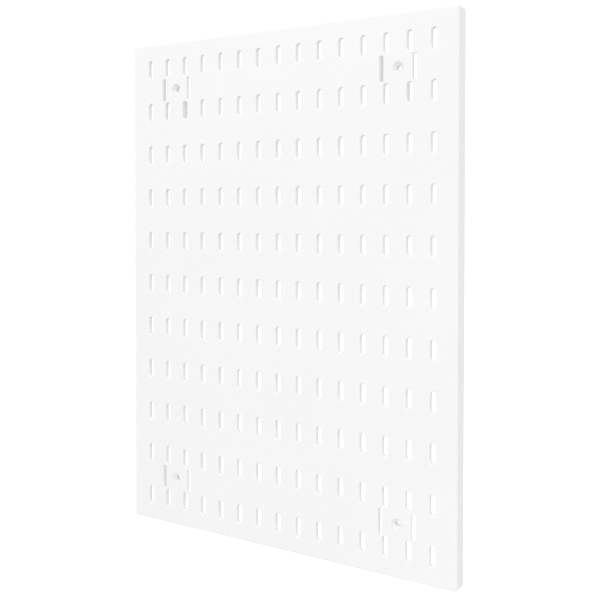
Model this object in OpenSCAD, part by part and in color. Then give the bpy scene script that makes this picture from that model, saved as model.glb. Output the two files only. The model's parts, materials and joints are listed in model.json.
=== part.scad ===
// Perforated wall board for hanging tools: a moulded tray with rows of upright slots,
// hung on two keyhole hangers and locked by screws through its four screw points.
// +X is to the right seen from the front, the front faces -Y, +Z is up.
// The origin is the board's centre on the wall plane, Y = 0.

/* [Slot grid] */
// Columns of slots
columns = 15; // [11:2:21]
// Rows of slots
rows = 11; // [7:2:15]
// Distance between columns
column_pitch = 24; // [22:1:30]
// Distance between rows
row_pitch = 48; // [44:1:60]
// Width of a slot
slot_w = 5.6; // [5:0.1:6.4]
// Length of a slot, end to end
slot_l = 19.2; // [17:0.1:21]

/* [Board] */
// Height of plain board beyond the first and last rows' centres
end_margin = 27.5; // [24:0.5:40]
// Depth of the board from its front to the wall
board_d = 16; // [15:0.5:22]
// Thickness of the face
face_t = 3; // [2.5:0.1:3.5]
// Thickness of the rim
rim_t = 2.6; // [2:0.1:4]
// Radius of the board's corners
corner_r = 3; // [3:0.5:8]
// Radius along the rim's front edge
edge_r = 1.4; // [0.8:0.1:1.4]

/* [Screw points] */
// Columns from the board's side to a screw point's near slot column
mount_column = 2; // [2:1:4]
// Diameter of a screw hole
screw_d = 4.8; // [4:0.1:5]
// Diameter of a screw hole's countersink at the face
sink_d = 10.6; // [9:0.1:10.8]
// Width of the slits beside a screw hole
slit_w = 3.6; // [3:0.1:4.4]
// Length of the slits beside a screw hole
slit_l = 24; // [20:0.2:24.2]
// Distance from a screw hole to the middle of each slit
slit_x = 17; // [16.6:0.1:17.4]

/* [Hangers] */
// Outer width of a hanger
hanger_w = 14.4; // [13:0.1:14.6]
// Diameter of a keyhole's round end, which a screw head passes
keyhole_d = 9; // [8.4:0.1:9.6]
// Width of a keyhole's slot, which a screw's shank slides up
keyhole_w = 4.8; // [4:0.1:5]
// Distance that the board drops on to its wall screws
keyhole_drop = 9; // [8:0.5:10]

/* [Hidden] */
$fn = 48;

// The board
board_w = (columns + 1) * column_pitch;
board_h = (rows - 1) * row_pitch + 2 * end_margin;
front_y = -board_d;
face_back_y = front_y + face_t;
inner_corner_r = max(corner_r - rim_t, 0.8);
first_column_x = -(columns - 1) / 2 * column_pitch;
first_row_z = (rows - 1) / 2 * row_pitch;

// Chamfer along the front edges of the slots and slits
mouth_c = 0.9;

// Stiffening behind the face
collar_t = 1.6;
slot_wall_d = 5;
slot_wall_y = front_y + slot_wall_d;
rib_t = 1.8;
rib_d = 8.5;
rib_y = front_y + rib_d;
upright_x = round(board_w / 6 / column_pitch - 0.5) * column_pitch + column_pitch / 2;
embed = 1.2;

// Screw points
mount_x = board_w / 2 - (mount_column + 0.5) * column_pitch;
mount_z = first_row_z - row_pitch / 2;
cheek_t = 2.2;
cheek_h = 26.4;
screw_point_w = 2 * slit_x + slit_w + 2 * cheek_t;
screw_boss_d = 12;
short_cheek_d = 5.5;
sink_lip = 0.8;
sink_depth = (sink_d - screw_d) / 2;
past = 1;

// Hangers, measured from their own screw point
hanger_front_y = slot_wall_y;
hanger_back_y = -4;
hanger_wall = 1.6;
keyhole_plate_t = 2;
ear_t = 2.5;
ear_w = 8;
hanger_top_z = -13;
hanger_bottom_z = -36.5;
top_ear_z = -6.6;
bottom_ear_z = -43;
keyhole_z = -30;
boss_d = 6.4;
boss_top_z = -9.8;
boss_bottom_z = -39.8;
pilot_depth = 3.6;

// Hanger screws: pan heads, 2.9 mm self-tapping
fixing_d = 2.9;
fixing_play = 0.05;
ear_hole_d = 3.3;
head_d = 5.4;
head_h = 1.8;
fixing_l = 5.6;
driver_w = 2.6;
driver_slot = 0.7;
driver_depth = 0.9;

white = "white";
steel = "silver";

// Extrudes a shape drawn in X and Z from one Y to another
module from_to(y_front, y_back)
    translate([0, y_back, 0]) rotate([90, 0, 0]) linear_extrude(y_back - y_front) children();

// A round bar along Y
module bar(d, y_front, y_back) from_to(y_front, y_back) circle(d = d);

// An upright slot shape with round ends
module round_ended(w, l) {
    square([w, l - w], center = true);
    for (end = [-1, 1]) translate([0, end * (l - w) / 2]) circle(d = w);
}

// A rectangle with round corners
module round_cornered(w, h, r) {
    square([w - 2 * r, h], center = true);
    square([w, h - 2 * r], center = true);
    for (x = [-1, 1], z = [-1, 1])
        translate([x * (w / 2 - r), z * (h / 2 - r)]) circle(r = r);
}

// One copy of a 2D shape at every slot
module at_slots()
    for (column = [0 : columns - 1], row = [0 : rows - 1])
        translate([first_column_x + column * column_pitch, first_row_z - row * row_pitch]) children();

// Chamfer along both sides of an upright opening
module mouth_sides(w, l) {
    reach = mouth_c + past;
    translate([0, front_y - past, 0]) linear_extrude(l, center = true)
        polygon([[-w / 2 - reach, 0], [w / 2 + reach, 0], [w / 2, reach], [-w / 2, reach]]);
}

// Chamfer all round the front edge of every slot
module slot_mouths() {
    reach = mouth_c + past;
    for (column = [0 : columns - 1], row = [0 : rows - 1])
        translate([first_column_x + column * column_pitch, 0, first_row_z - row * row_pitch]) {
            mouth_sides(slot_w, slot_l - slot_w);
            for (end = [-1, 1])
                translate([0, front_y - past, end * (slot_l - slot_w) / 2]) rotate([-90, 0, 0])
                    cylinder(d1 = slot_w + 2 * reach, d2 = slot_w, h = reach);
        }
}

// One copy at each screw point on one level: 1 is the top pair, -1 the bottom pair
module at_mounts(level)
    for (side = [-1, 1]) translate([side * mount_x, 0, level * mount_z]) children();

// The outside of the board, with its front edge rounded
module board_block() {
    from_to(front_y + edge_r, 0) round_cornered(board_w, board_h, corner_r);
    from_to(front_y, front_y + edge_r)
        round_cornered(board_w - 2 * edge_r, board_h - 2 * edge_r, corner_r - edge_r);
    for (side = [-1, 1]) {
        translate([side * (board_w / 2 - edge_r), front_y + edge_r, 0])
            cylinder(r = edge_r, h = board_h - 2 * corner_r, center = true);
        translate([0, front_y + edge_r, side * (board_h / 2 - edge_r)]) rotate([0, 90, 0])
            cylinder(r = edge_r, h = board_w - 2 * corner_r, center = true);
    }
    for (x = [-1, 1], z = [-1, 1])
        translate([x * (board_w / 2 - corner_r), front_y + edge_r, z * (board_h / 2 - corner_r)])
            rotate([90, 0, 0]) rotate_extrude() translate([corner_r - edge_r, 0]) circle(r = edge_r);
}

// Ribs between the rows and two uprights between columns, at a third of the width
module ribs() {
    between_points = 2 * (mount_x - screw_point_w / 2 + embed);
    inside = board_w - 2 * rim_t;
    for (gap = [1 : rows - 1])
        translate([0, 0, first_row_z - (gap - 0.5) * row_pitch])
            rib_across(gap == 1 || gap == rows - 1 ? between_points : inside + embed);
    for (side = [-1, 1])
        translate([side * upright_x, 0, 0]) rib_up(board_h - 2 * rim_t + embed);
}

module rib_across(length)
    from_to(face_back_y - embed, rib_y) square([length, rib_t], center = true);

module rib_up(length)
    from_to(face_back_y - embed, rib_y) square([rib_t, length], center = true);

// Boss behind a screw hole, with a cheek outside each slit
module screw_point(cheek_y) {
    bar(screw_boss_d, face_back_y - embed, rib_y);
    for (side = [-1, 1])
        translate([side * (screw_point_w - cheek_t) / 2, 0, 0])
            from_to(face_back_y - embed, cheek_y) square([cheek_t, cheek_h], center = true);
}

// Screw hole, countersink and the two slits
module screw_point_cuts() {
    bar(screw_d, front_y - past, rib_y + past);
    bar(sink_d, front_y - past, front_y + sink_lip);
    translate([0, front_y + sink_lip, 0]) rotate([-90, 0, 0])
        cylinder(d1 = sink_d, d2 = screw_d, h = sink_depth);
    for (side = [-1, 1])
        translate([side * slit_x, 0, 0]) {
            from_to(front_y - past, face_back_y + past) square([slit_w, slit_l], center = true);
            mouth_sides(slit_w, slit_l);
        }
}

module pegboard_panel() {
    color(white) difference() {
        union() {
            difference() {
                board_block();
                from_to(face_back_y, past)
                    round_cornered(board_w - 2 * rim_t, board_h - 2 * rim_t, inner_corner_r);
            }
            from_to(face_back_y - embed, slot_wall_y)
                at_slots() round_ended(slot_w + 2 * collar_t, slot_l + 2 * collar_t);
            ribs();
            at_mounts(1) screw_point(0);
            at_mounts(-1) screw_point(front_y + short_cheek_d);
            at_mounts(1) for (z = [boss_top_z, boss_bottom_z])
                translate([0, 0, z]) bar(boss_d, face_back_y - embed, hanger_front_y);
            at_mounts(1) translate([0, 0, boss_top_z / 2])
                from_to(face_back_y - embed, hanger_front_y) square([rib_t, -boss_top_z], center = true);
        }
        from_to(front_y - past, slot_wall_y + past) at_slots() round_ended(slot_w, slot_l);
        slot_mouths();
        for (level = [-1, 1]) at_mounts(level) screw_point_cuts();
        at_mounts(1) for (z = [boss_top_z, boss_bottom_z])
            translate([0, 0, z]) bar(fixing_d, hanger_front_y - pilot_depth, hanger_front_y + past);
    }
}

// Hollow box with a keyhole in its wall side and an ear at each end
module keyhole_hanger(side) {
    mid_z = (hanger_top_z + hanger_bottom_z) / 2;
    hanger_h = hanger_top_z - hanger_bottom_z;
    color(white) translate([side * mount_x, 0, mount_z]) difference() {
        union() {
            translate([0, 0, mid_z])
                from_to(hanger_front_y, hanger_back_y) square([hanger_w, hanger_h], center = true);
            translate([0, 0, (top_ear_z + bottom_ear_z) / 2])
                from_to(hanger_front_y, hanger_front_y + ear_t)
                    square([ear_w, top_ear_z - bottom_ear_z], center = true);
        }
        translate([0, 0, mid_z])
            from_to(hanger_front_y - past, hanger_back_y - keyhole_plate_t)
                square([hanger_w - 2 * hanger_wall, hanger_h - 2 * hanger_wall], center = true);
        translate([0, 0, keyhole_z]) {
            bar(keyhole_d, hanger_back_y - keyhole_plate_t - past, hanger_back_y + past);
            translate([0, 0, keyhole_drop / 2])
                from_to(hanger_back_y - keyhole_plate_t - past, hanger_back_y + past)
                    round_ended(keyhole_w, keyhole_drop + keyhole_w);
        }
        for (z = [boss_top_z, boss_bottom_z])
            translate([0, 0, z])
                bar(ear_hole_d, hanger_front_y - past, hanger_front_y + ear_t + past);
    }
}

// One pan-head screw, driven from the wall side
module fixing_screw() {
    head_y = hanger_front_y + ear_t;
    difference() {
        union() {
            bar(head_d, head_y, head_y + head_h);
            bar(fixing_d - 2 * fixing_play, head_y - fixing_l, head_y + head_h / 2);
        }
        for (turn = [0, 90]) rotate([0, turn, 0])
            from_to(head_y + head_h - driver_depth, head_y + head_h + past)
                square([driver_w, driver_slot], center = true);
    }
}

module hanger_screws(side)
    color(steel) for (z = [boss_top_z, boss_bottom_z])
        translate([side * mount_x, 0, mount_z + z]) fixing_screw();

module keyhole_hanger_left() keyhole_hanger(-1);
module keyhole_hanger_right() keyhole_hanger(1);
module hanger_screws_left() hanger_screws(-1);
module hanger_screws_right() hanger_screws(1);

pegboard_panel();
keyhole_hanger_left();
keyhole_hanger_right();
hanger_screws_left();
hanger_screws_right();
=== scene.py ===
"""A white moulded wall board with upright slots, hung on two keyhole hangers.
Metres, in the row frame: X runs to the right, Z up, and the wall is behind the board, at +Y."""

import json
import math

import bmesh
import bpy
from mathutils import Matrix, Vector


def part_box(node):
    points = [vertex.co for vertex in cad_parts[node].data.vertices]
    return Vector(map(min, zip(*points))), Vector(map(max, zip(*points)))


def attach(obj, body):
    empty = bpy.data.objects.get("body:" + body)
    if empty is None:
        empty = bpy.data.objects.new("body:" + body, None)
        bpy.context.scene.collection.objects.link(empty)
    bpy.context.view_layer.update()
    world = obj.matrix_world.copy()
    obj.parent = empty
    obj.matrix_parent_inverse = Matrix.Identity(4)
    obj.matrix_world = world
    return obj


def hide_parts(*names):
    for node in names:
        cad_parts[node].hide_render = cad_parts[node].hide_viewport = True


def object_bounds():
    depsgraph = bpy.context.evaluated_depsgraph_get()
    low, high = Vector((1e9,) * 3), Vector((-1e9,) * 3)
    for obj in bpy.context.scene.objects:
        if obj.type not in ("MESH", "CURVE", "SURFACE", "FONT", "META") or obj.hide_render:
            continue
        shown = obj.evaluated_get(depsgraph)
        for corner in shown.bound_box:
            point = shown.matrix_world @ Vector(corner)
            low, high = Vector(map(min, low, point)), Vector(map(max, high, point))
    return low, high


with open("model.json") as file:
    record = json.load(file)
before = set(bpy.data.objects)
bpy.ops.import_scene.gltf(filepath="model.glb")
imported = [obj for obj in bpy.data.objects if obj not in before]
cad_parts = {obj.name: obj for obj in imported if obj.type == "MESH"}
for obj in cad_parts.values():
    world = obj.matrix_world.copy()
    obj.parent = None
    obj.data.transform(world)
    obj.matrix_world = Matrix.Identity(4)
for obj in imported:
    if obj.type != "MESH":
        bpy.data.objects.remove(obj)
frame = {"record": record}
cad_lo, cad_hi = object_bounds()
MM = 0.001

# ---------------------------------------------------------------- sizes, from the frame
mounts = {m["name"]: m for m in frame["record"]["mounts"]}
screws, slots = mounts["wall_screws"], mounts["hook_slots_right"]
keyholes = mounts["hanger_keyholes"]
ROWS, COLUMNS = 11, 15
BOARD_W, BOARD_H = cad_hi.x - cad_lo.x, cad_hi.z - cad_lo.z
FRONT, WALL = cad_lo.y, cad_hi.y
COLUMN_PITCH = 2 * slots["pos_m"][0] / (COLUMNS - 1)
ROW_PITCH = slots["dims"]["spacing_y_mm"] * MM / (ROWS - 1)
SLOT_W = 2 * slots["dims"]["hole_r_mm"] * MM
SLOT_L = slots["dims"]["slot_length_mm"] * MM
MOUNT_X = screws["dims"]["spacing_x_mm"] * MM / 2
MOUNT_Z = screws["dims"]["spacing_y_mm"] * MM / 2
HOLE_R = screws["dims"]["hole_r_mm"] * MM
left_lo, left_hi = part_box("keyhole_hanger_left")
HANGER_FRONT, HANGER_BACK = left_lo.y, left_hi.y
HANGER_W = left_hi.x - left_lo.x
EAR_TOP, EAR_BOTTOM = left_hi.z - MOUNT_Z, left_lo.z - MOUNT_Z
KEYHOLE_R = keyholes["dims"]["hole_r_mm"] * MM
KEYHOLE_Z = keyholes["pos_m"][2] - MOUNT_Z

# ---------------------------------------------------------------- the moulding's other sizes, as in the CAD
FACE_BACK = FRONT + 3 * MM
RIM_T = 2.6 * MM
CORNER_R, INNER_CORNER_R = 3 * MM, 0.8 * MM
EDGE_R = 1.4 * MM
SLOT_BACK = HANGER_FRONT
COLLAR_T = 1.6 * MM
RIB_T = 1.8 * MM
RIB_Y = FRONT + 8.5 * MM
UPRIGHT_X = 2.5 * COLUMN_PITCH
SINK_R, SINK_LIP = 5.3 * MM, 0.8 * MM
SLIT_W, SLIT_L, SLIT_X = 3.6 * MM, 24 * MM, 17 * MM
CHEEK_T, CHEEK_H = 2.2 * MM, 26.4 * MM
POINT_W = 2 * SLIT_X + SLIT_W + 2 * CHEEK_T
SHORT_CHEEK_Y = FRONT + 5.5 * MM
SCREW_BOSS_R, HANGER_BOSS_R = 6 * MM, 3.2 * MM
PILOT_R, PILOT_DEPTH = 1.45 * MM, 3.6 * MM

# Heights of the hanger's two screws, from the wall screw above them
HANGER_SCREW_ZS = (-9.8 * MM, -39.8 * MM)

# ---------------------------------------------------------------- the hangers' and their screws' sizes
HANGER_TOP, HANGER_BOTTOM = -13 * MM, -36.5 * MM
HANGER_MIDDLE = (HANGER_TOP + HANGER_BOTTOM) / 2
HANGER_CORNER_R, HOLLOW_CORNER_R = 1 * MM, 0.6 * MM
PLATE_T, HANGER_WALL_T = 2 * MM, 1.6 * MM
EAR_W, EAR_T, EAR_CORNER_R = 8 * MM, 2.5 * MM, 2 * MM
EAR_HOLE_R = 1.65 * MM
KEYHOLE_DROP, KEYHOLE_W = 9 * MM, 4.8 * MM
HEAD_Y = HANGER_FRONT + EAR_T
HEAD_R, HEAD_H, HEAD_EDGE = 2.7 * MM, 1.8 * MM, 0.1 * MM
DOME_START_H, DOME_END_R = 0.45, 0.55
SHANK_R, SHANK_L = 1.4 * MM, 2.7 * MM
TIP_R, TIP_L = 0.3 * MM, 0.7 * MM
RECESS_DEPTH, RECESS_CORNER_R = 0.9 * MM, 0.15 * MM
RECESS_FLOOR, RECESS_MOUTH = (1.6 * MM, 0.5 * MM), (2.7 * MM, 0.8 * MM)

# ---------------------------------------------------------------- rounding, which the CAD leaves out
MOUTH_ROUND = 1.2 * MM
BACK_ROUND = 0.3 * MM
BASE_FILLET = 0.6 * MM
SINK_ROUND, HOLE_ROUND = 0.3 * MM, 0.2 * MM
RIB_CORNER_R = 0.5 * MM
SLIT_CORNER_R, SLIT_END_SHARE, SLIT_CORNER_SHARE = 0.3 * MM, 0.2, 0.1
PLATE_ROUND, EAR_HOLE_ROUND, INNER_ROUND = 0.3 * MM, 0.15 * MM, 0.1 * MM

# How far a raised form starts inside its carrier, how far a cut runs past, and what keeps faces apart
EMBED = 1.2 * MM
PAST = 1 * MM
APART = 0.02 * MM

# Steps of each quarter round
EDGE_STEPS, MOUTH_STEPS, SINK_STEPS, ROUND_STEPS, HOLE_BACK_STEPS = 6, 5, 4, 3, 2
BOARD_CORNER_STEPS, COLLAR_STEPS = 8, 9
SMOOTH_BELOW = math.radians(38)


# ---------------------------------------------------------------- outlines, as (x, z) points
def rectangle(w, h, r, steps=4):
    points = []
    for k, (sx, sz) in enumerate(((1, 1), (-1, 1), (-1, -1), (1, -1))):
        for i in range(steps + 1):
            a = math.radians(90 * (k + i / steps))
            points.append((sx * (w / 2 - r) + r * math.cos(a), sz * (h / 2 - r) + r * math.sin(a)))
    return points


def slot_shape(w, length, steps=12):
    """Upright slot with round ends."""
    points = []
    for k, end in enumerate((1, -1)):
        for i in range(steps + 1):
            a = math.radians(180 * (k + i / steps))
            points.append((w / 2 * math.cos(a), end * (length - w) / 2 + w / 2 * math.sin(a)))
    return points


def circle(r, steps=48):
    angles = [2 * math.pi * i / steps for i in range(steps)]
    return [(r * math.cos(a), r * math.sin(a)) for a in angles]


# Box, circle and slot as functions of how far the outline is grown all round
def grown_box(w, h, r=RIB_CORNER_R):
    return lambda grow: rectangle(w + 2 * grow, h + 2 * grow, r + grow)


def grown_circle(r):
    return lambda grow: circle(r + grow)


def grown_slot(w, length, steps=12):
    return lambda grow: slot_shape(w + 2 * grow, length + 2 * grow, steps)


def slit_shape(grow):
    """Upright slit, grown more along its long edges than at its ends."""
    length = SLIT_L + 2 * SLIT_END_SHARE * grow
    return rectangle(SLIT_W + 2 * grow, length, SLIT_CORNER_R + SLIT_CORNER_SHARE * grow)


# ---------------------------------------------------------------- sections, as (y, outline), front first
def quarter(steps):
    """Angles of a quarter turn."""
    return [math.pi / 2 * i / steps for i in range(steps + 1)]


def arc(steps, r):
    """A round's points as two distances, the first from 0 to r and the second from r to 0."""
    return [(r * (1 - math.cos(a)), r * (1 - math.sin(a))) for a in quarter(steps)]


def raised(shape, top):
    """Something moulded on the back of the face, filleted at its foot and rounded at its top."""
    sections = [(FACE_BACK - EMBED, shape(BASE_FILLET))]
    sections += [(FACE_BACK + near, shape(far)) for near, far in arc(ROUND_STEPS, BASE_FILLET)]
    sections += [(top - far, shape(-near)) for near, far in arc(ROUND_STEPS, BACK_ROUND)]
    return sections


def opening(shape, front, back, front_round, back_round):
    """A hole flared by the round of its two edges."""
    sections = [(front - PAST, shape(front_round))]
    sections += [(front + near, shape(far)) for near, far in arc(MOUTH_STEPS, front_round)]
    sections += [(back - far, shape(near)) for near, far in arc(HOLE_BACK_STEPS, back_round)]
    sections.append((back + PAST, shape(back_round)))
    return sections


def block(shape, front, back):
    """A plate or box with its front and back edges rounded."""
    sections = [(front + near, shape(-far)) for near, far in arc(ROUND_STEPS, BACK_ROUND)]
    sections += [(back - far, shape(-near)) for near, far in arc(ROUND_STEPS, BACK_ROUND)]
    return sections


# ---------------------------------------------------------------- meshes
def add_stack(bm, sections, x=0.0, z=0.0):
    """Closed solid through the sections, at (x, z)."""
    loops = [[bm.verts.new((x + px, y, z + pz)) for px, pz in outline] for y, outline in sections]
    n = len(loops[0])
    for a, b in zip(loops, loops[1:]):
        for i in range(n):
            bm.faces.new((a[i], a[(i + 1) % n], b[(i + 1) % n], b[i]))
    bm.faces.new(list(reversed(loops[0])))
    bm.faces.new(loops[-1])


def solid(name, build):
    """New mesh object from build(bm), with its faces turned outwards."""
    bm = bmesh.new()
    build(bm)
    bmesh.ops.recalc_face_normals(bm, faces=bm.faces)
    mesh = bpy.data.meshes.new(name)
    bm.to_mesh(mesh)
    bm.free()
    obj = bpy.data.objects.new(name, mesh)
    bpy.context.scene.collection.objects.link(obj)
    return obj


def combine(base, other, operation):
    """Booleans other into base and removes it."""
    modifier = base.modifiers.new("combine", "BOOLEAN")
    modifier.operation, modifier.object, modifier.solver = operation, other, "MANIFOLD"
    graph = bpy.context.evaluated_depsgraph_get()
    mesh = bpy.data.meshes.new_from_object(base.evaluated_get(graph))
    base.modifiers.remove(modifier)
    old = base.data
    base.data = mesh
    bpy.data.meshes.remove(old)
    bpy.data.objects.remove(other)


def finish_piece(obj, cad_node, material):
    """Smooth shading between flats, the piece's material and its place under the root body, with the CAD
    part it stands for hidden.
    """
    mesh = obj.data
    mesh.materials.clear()
    mesh.materials.append(material)
    for face in mesh.polygons:
        face.use_smooth = True
    mesh.set_sharp_from_angle(angle=SMOOTH_BELOW)
    weighted = obj.modifiers.new("weighted", "WEIGHTED_NORMAL")
    weighted.keep_sharp = True
    weighted.weight = 100
    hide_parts(cad_node)
    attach(obj, "root")


# ---------------------------------------------------------------- materials
# The part of a noise's values that is spread over a range, and the patches' scale as a share of the grain's
NOISE_MIDDLE = (0.3, 0.7)
PATCH_SHARE = 0.12


def node_material(name, colours, rough, bump, metallic=0.0, grain=900.0):
    """Principled material with a slow colour drift, a varied roughness and a fine bump.
    colours and rough are (low, high); bump is (strength, height)."""
    material = bpy.data.materials.new(name)
    material.use_nodes = True
    nodes, links = material.node_tree.nodes, material.node_tree.links
    shader = nodes["Principled BSDF"]
    shader.inputs["Metallic"].default_value = metallic
    place = nodes.new("ShaderNodeTexCoord")

    def noise(scale, detail):
        node = nodes.new("ShaderNodeTexNoise")
        node.inputs["Scale"].default_value = scale
        node.inputs["Detail"].default_value = detail
        links.new(place.outputs["Object"], node.inputs["Vector"])
        return node

    drift = noise(scale=9.0, detail=3.0)
    ramp = nodes.new("ShaderNodeValToRGB")
    for stop, position, colour in zip(ramp.color_ramp.elements, NOISE_MIDDLE, colours):
        stop.position = position
        stop.color = (*colour, 1)
    links.new(drift.outputs["Fac"], ramp.inputs["Fac"])
    links.new(ramp.outputs["Color"], shader.inputs["Base Color"])

    patches = noise(scale=grain * PATCH_SHARE, detail=4.0)
    spread = nodes.new("ShaderNodeMapRange")
    spread.inputs["From Min"].default_value, spread.inputs["From Max"].default_value = NOISE_MIDDLE
    spread.inputs["To Min"].default_value, spread.inputs["To Max"].default_value = rough
    links.new(patches.outputs["Fac"], spread.inputs["Value"])
    links.new(spread.outputs["Result"], shader.inputs["Roughness"])

    fine = noise(scale=grain, detail=2.0)
    raise_by = nodes.new("ShaderNodeBump")
    raise_by.inputs["Strength"].default_value, raise_by.inputs["Distance"].default_value = bump
    links.new(fine.outputs["Fac"], raise_by.inputs["Height"])
    links.new(raise_by.outputs["Normal"], shader.inputs["Normal"])
    return material


white_plastic = node_material(
    "moulded_white",
    colours=((0.838, 0.838, 0.838), (0.85, 0.85, 0.85)),
    rough=(0.4, 0.5),
    bump=(0.12, 0.03 * MM),
)
hanger_plastic = node_material(
    "hanger_white",
    colours=((0.83, 0.83, 0.825), (0.845, 0.845, 0.84)),
    rough=(0.45, 0.58),
    bump=(0.2, 0.04 * MM),
)
zinc = node_material(
    "zinc_plate",
    colours=((0.56, 0.57, 0.58), (0.68, 0.68, 0.67)),
    rough=(0.24, 0.42),
    bump=(0.15, 0.03 * MM),
    metallic=1.0,
    grain=2500.0,
)


# ---------------------------------------------------------------- the panel
def at_slots():
    """Centres of the slots."""
    for column in range(COLUMNS):
        for row in range(ROWS):
            yield ((column - (COLUMNS - 1) / 2) * COLUMN_PITCH, ((ROWS - 1) / 2 - row) * ROW_PITCH)


def tray(bm):
    """Face and rim as one shell: front edge, wall edge outside and inside, and the back of the face."""

    def outline(inset):
        corner_r = max(CORNER_R - inset, INNER_CORNER_R)
        return rectangle(BOARD_W - 2 * inset, BOARD_H - 2 * inset, corner_r, BOARD_CORNER_STEPS)

    sections = [(FRONT + near, outline(far)) for near, far in arc(EDGE_STEPS, EDGE_R)]
    sections += [(WALL - far, outline(near)) for near, far in arc(ROUND_STEPS, BACK_ROUND)]
    sections += [(WALL - near, outline(RIM_T - far)) for near, far in arc(ROUND_STEPS, BACK_ROUND)]
    sections += [(FACE_BACK + far, outline(RIM_T + near)) for near, far in arc(ROUND_STEPS, BASE_FILLET)]
    add_stack(bm, sections)


def collars(bm):
    shape = grown_slot(SLOT_W + 2 * COLLAR_T, SLOT_L + 2 * COLLAR_T, COLLAR_STEPS)
    for x, z in at_slots():
        add_stack(bm, raised(shape, SLOT_BACK), x, z)


def ribs_across(bm):
    """One rib in each gap between rows; the first and last run only between the screw points."""
    whole = BOARD_W - 2 * RIM_T + EMBED
    between_points = 2 * (MOUNT_X - POINT_W / 2 + EMBED)
    for gap in range(1, ROWS):
        length = between_points if gap in (1, ROWS - 1) else whole
        z = ((ROWS - 1) / 2 - gap + 0.5) * ROW_PITCH
        add_stack(bm, raised(grown_box(length, RIB_T), RIB_Y), 0, z)


def ribs_up(bm):
    shape = grown_box(RIB_T, BOARD_H - 2 * RIM_T + EMBED)
    for side in (-1, 1):
        add_stack(bm, raised(shape, RIB_Y - APART), side * UPRIGHT_X)


def bosses(bm):
    for side in (-1, 1):
        for level in (-1, 1):
            add_stack(bm, raised(grown_circle(SCREW_BOSS_R), RIB_Y), side * MOUNT_X, level * MOUNT_Z)
        for z in HANGER_SCREW_ZS:
            add_stack(bm, raised(grown_circle(HANGER_BOSS_R), SLOT_BACK), side * MOUNT_X, MOUNT_Z + z)


def webs(bm):
    """Between each upper screw point and the hanger screw under it."""
    upper_z = HANGER_SCREW_ZS[0]
    for side in (-1, 1):
        sections = raised(grown_box(RIB_T, -upper_z), SLOT_BACK - APART)
        add_stack(bm, sections, side * MOUNT_X, MOUNT_Z + upper_z / 2)


def cheeks(bm):
    """Walls outside the slits: as deep as the rim at the upper screw points, short at the lower ones."""
    for side in (-1, 1):
        for level, top in ((1, WALL), (-1, SHORT_CHEEK_Y)):
            for hand in (-1, 1):
                x = side * MOUNT_X + hand * (POINT_W / 2 - CHEEK_T / 2 + APART)
                add_stack(bm, raised(grown_box(CHEEK_T, CHEEK_H), top), x, level * MOUNT_Z)


def slot_cuts(bm):
    sections = opening(grown_slot(SLOT_W, SLOT_L), FRONT, SLOT_BACK, MOUTH_ROUND, BACK_ROUND)
    for x, z in at_slots():
        add_stack(bm, sections, x, z)


def screw_hole():
    """Sections of a wall screw's hole: rounded mouth, lip, countersink and bore."""
    bore_y = FRONT + SINK_LIP + SINK_R - HOLE_R
    sections = [(FRONT - PAST, circle(SINK_R + SINK_ROUND))]
    sections += [(FRONT + near, circle(SINK_R + far)) for near, far in arc(SINK_STEPS, SINK_ROUND)]
    sections += [(FRONT + SINK_LIP, circle(SINK_R)), (bore_y, circle(HOLE_R + HOLE_ROUND / 2))]
    sections += [(bore_y + HOLE_ROUND, circle(HOLE_R)), (RIB_Y - HOLE_ROUND, circle(HOLE_R))]
    sections += [(y, circle(HOLE_R + HOLE_ROUND)) for y in (RIB_Y, RIB_Y + PAST)]
    return sections


def screw_point_cuts(bm):
    slit = opening(slit_shape, FRONT, FACE_BACK, MOUTH_ROUND, 0)
    pilot = [(y, circle(PILOT_R, 24)) for y in (SLOT_BACK - PILOT_DEPTH, SLOT_BACK + PAST)]
    for side in (-1, 1):
        x = side * MOUNT_X
        for level in (-1, 1):
            add_stack(bm, screw_hole(), x, level * MOUNT_Z)
            for hand in (-1, 1):
                add_stack(bm, slit, x + hand * SLIT_X, level * MOUNT_Z)
        for z in HANGER_SCREW_ZS:
            add_stack(bm, pilot, x, MOUNT_Z + z)


panel = solid("panel", tray)
for part in (collars, ribs_across, ribs_up, bosses, webs, cheeks):
    combine(panel, solid(part.__name__, part), "UNION")
for part in (slot_cuts, screw_point_cuts):
    combine(panel, solid(part.__name__, part), "DIFFERENCE")
finish_piece(panel, "pegboard_panel", white_plastic)


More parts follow.
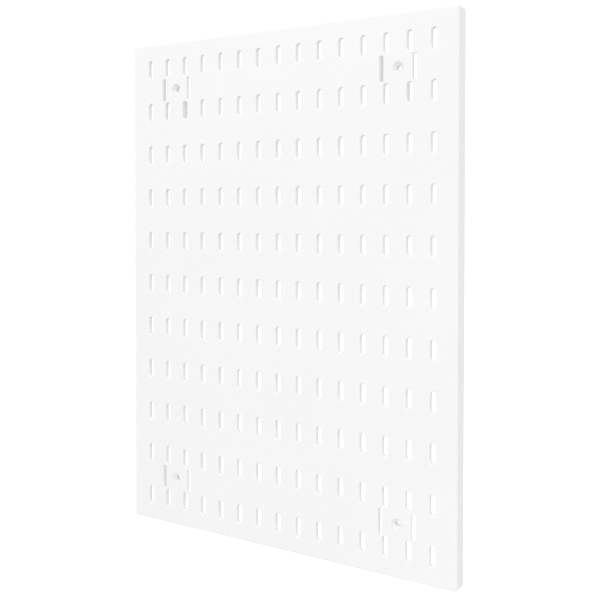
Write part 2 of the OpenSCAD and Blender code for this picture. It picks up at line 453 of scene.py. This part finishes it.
# ---------------------------------------------------------------- hangers and their screws
def hanger(side):
    name = "left" if side < 0 else "right"
    x = side * MOUNT_X
    plate_front = HANGER_BACK - PLATE_T
    height = HANGER_TOP - HANGER_BOTTOM

    def shell(bm):
        sections = block(grown_box(HANGER_W, height, HANGER_CORNER_R), HANGER_FRONT, HANGER_BACK)
        add_stack(bm, sections, x, MOUNT_Z + HANGER_MIDDLE)

    def ears(bm):
        shape = grown_box(EAR_W, EAR_TOP - EAR_BOTTOM, EAR_CORNER_R)
        add_stack(bm, block(shape, HANGER_FRONT, HEAD_Y), x, MOUNT_Z + (EAR_TOP + EAR_BOTTOM) / 2)

    def hollow(bm):
        inside = rectangle(HANGER_W - 2 * HANGER_WALL_T, height - 2 * HANGER_WALL_T, HOLLOW_CORNER_R)
        add_stack(bm, [(HANGER_FRONT - PAST, inside), (plate_front, inside)], x, MOUNT_Z + HANGER_MIDDLE)

    def round_end(bm):
        sections = opening(grown_circle(KEYHOLE_R), plate_front, HANGER_BACK, INNER_ROUND, PLATE_ROUND)
        add_stack(bm, sections, x, MOUNT_Z + KEYHOLE_Z)

    def narrow_end(bm):
        shape = grown_slot(KEYHOLE_W, KEYHOLE_DROP + KEYHOLE_W)
        sections = opening(shape, plate_front, HANGER_BACK, INNER_ROUND, PLATE_ROUND)
        add_stack(bm, sections, x, MOUNT_Z + KEYHOLE_Z + KEYHOLE_DROP / 2)

    def ear_holes(bm):
        sections = opening(grown_circle(EAR_HOLE_R), HANGER_FRONT, HEAD_Y, INNER_ROUND, EAR_HOLE_ROUND)
        for z in HANGER_SCREW_ZS:
            add_stack(bm, sections, x, MOUNT_Z + z)

    body = solid("hanger_" + name, shell)
    combine(body, solid("ears", ears), "UNION")
    for part in (hollow, round_end, narrow_end, ear_holes):
        combine(body, solid(part.__name__, part), "DIFFERENCE")
    finish_piece(body, "keyhole_hanger_" + name, hanger_plastic)


def hanger_screws(side):
    name = "left" if side < 0 else "right"
    x = side * MOUNT_X
    head_top = HEAD_Y + HEAD_H

    def screw(bm):
        """Tip, shank and domed head."""
        sections = [(HEAD_Y - SHANK_L - TIP_L, circle(TIP_R))]
        sections += [(HEAD_Y - SHANK_L, circle(SHANK_R)), (HEAD_Y, circle(SHANK_R))]
        sections += [(HEAD_Y, circle(HEAD_R - HEAD_EDGE)), (HEAD_Y + HEAD_EDGE, circle(HEAD_R))]
        for a in quarter(EDGE_STEPS):
            y = HEAD_Y + HEAD_H * (DOME_START_H + (1 - DOME_START_H) * math.sin(a))
            sections.append((y, circle(HEAD_R * (DOME_END_R + (1 - DOME_END_R) * math.cos(a)))))
        for z in HANGER_SCREW_ZS:
            add_stack(bm, sections, x, MOUNT_Z + z)

    def recess(turned):
        """One arm of the cross in each head, flat or turned upright."""

        def arm(size):
            w, h = reversed(size) if turned else size
            return rectangle(w, h, RECESS_CORNER_R)

        def build(bm):
            sections = [(head_top - RECESS_DEPTH, arm(RECESS_FLOOR)), (head_top + PAST, arm(RECESS_MOUTH))]
            for z in HANGER_SCREW_ZS:
                add_stack(bm, sections, x, MOUNT_Z + z)

        return build

    body = solid("screws_" + name, screw)
    for turned in (False, True):
        combine(body, solid("recess", recess(turned)), "DIFFERENCE")
    finish_piece(body, "hanger_screws_" + name, zinc)


for side in (-1, 1):
    hanger(side)
    hanger_screws(side)

# ---------------------------------------------------------------- camera, at the photo's viewing angle
YAW, PITCH = math.radians(33.447), math.radians(-1.05)
FOCAL_PX, FRAME_PX, SENSOR_W = 887.5, 600, 36
camera = bpy.data.objects.new("camera", bpy.data.cameras.new("camera"))
bpy.context.scene.collection.objects.link(camera)
camera.data.sensor_width = SENSOR_W
camera.data.lens = FOCAL_PX / FRAME_PX * SENSOR_W
camera.data.shift_x, camera.data.shift_y = 0.0833, -0.1167
camera.data.clip_start, camera.data.clip_end = 0.01, 100
camera.location = (0.4771, FRONT - 0.7741, 0.0784)
camera.rotation_euler = (math.pi / 2 + PITCH, 0, YAW)
bpy.context.scene.camera = camera

# ---------------------------------------------------------------- floor and light
WHITE = (1, 1, 1, 1)
FLOOR_Z, FLOOR_HALF_W, FLOOR_GREY = cad_lo.z - 0.9, 12, (0.6, 0.6, 0.6, 1)
FLOOR_GLOW = (0.0, 0.6)
SKY = (0.9, 1.2)
BACKDROP = 1.06


def floor():
    """White to the camera, a soft grey bounce for the board."""
    material = bpy.data.materials.new("pale_floor")
    material.use_nodes = True
    nodes, links = material.node_tree.nodes, material.node_tree.links
    shader = nodes["Principled BSDF"]
    shader.inputs["Base Color"].default_value = FLOOR_GREY
    shader.inputs["Roughness"].default_value = 0.9
    shader.inputs["Specular IOR Level"].default_value = 0.2
    shader.inputs["Emission Color"].default_value = WHITE
    seen = nodes.new("ShaderNodeLightPath")
    glow = nodes.new("ShaderNodeMapRange")
    glow.inputs["To Min"].default_value, glow.inputs["To Max"].default_value = FLOOR_GLOW
    links.new(seen.outputs["Is Camera Ray"], glow.inputs["Value"])
    links.new(glow.outputs["Result"], shader.inputs["Emission Strength"])
    bm = bmesh.new()
    bmesh.ops.create_grid(bm, x_segments=8, y_segments=8, size=FLOOR_HALF_W)
    mesh = bpy.data.meshes.new("floor")
    bm.to_mesh(mesh)
    bm.free()
    mesh.materials.append(material)
    obj = bpy.data.objects.new("floor", mesh)
    obj.location = (0, 0, FLOOR_Z)
    bpy.context.scene.collection.objects.link(obj)


def softbox(name, place, target, size, power):
    """Square area light aimed at the target."""
    light = bpy.data.lights.new(name, "AREA")
    light.shape, light.size, light.size_y, light.energy = "RECTANGLE", size, size, power
    obj = bpy.data.objects.new(name, light)
    obj.location = place
    obj.rotation_euler = (Vector(target) - Vector(place)).to_track_quat("-Z", "Y").to_euler()
    bpy.context.scene.collection.objects.link(obj)


def sky():
    """Brighter overhead than at the sides, and plain white to the camera."""
    world = bpy.data.worlds.new("studio")
    world.use_nodes = True
    bpy.context.scene.world = world
    nodes, links = world.node_tree.nodes, world.node_tree.links
    direction = nodes.new("ShaderNodeTexCoord")
    axes = nodes.new("ShaderNodeSeparateXYZ")
    strength = nodes.new("ShaderNodeMapRange")
    strength.inputs["To Min"].default_value, strength.inputs["To Max"].default_value = SKY
    links.new(direction.outputs["Generated"], axes.inputs["Vector"])
    links.new(axes.outputs["Z"], strength.inputs["Value"])
    light = nodes["Background"]
    light.inputs["Color"].default_value = WHITE
    links.new(strength.outputs["Result"], light.inputs["Strength"])
    backdrop = nodes.new("ShaderNodeBackground")
    backdrop.inputs["Color"].default_value = WHITE
    backdrop.inputs["Strength"].default_value = BACKDROP
    seen = nodes.new("ShaderNodeLightPath")
    either = nodes.new("ShaderNodeMixShader")
    links.new(seen.outputs["Is Camera Ray"], either.inputs["Fac"])
    links.new(light.outputs["Background"], either.inputs[1])
    links.new(backdrop.outputs["Background"], either.inputs[2])
    links.new(either.outputs["Shader"], nodes["World Output"].inputs["Surface"])


floor()
centre = (cad_lo + cad_hi) / 2
softbox("key", place=(-1.2, -2.2, 1.9), target=centre, size=2.0, power=19.4)
softbox("top", place=(0.1, -0.5, 2.4), target=centre, size=2.4, power=5)
softbox("right", place=(1.25, -1.15, -0.9), target=(0.1, 0, -0.2), size=0.8, power=5.2)
sky()
bpy.context.scene.view_settings.view_transform = "Standard"
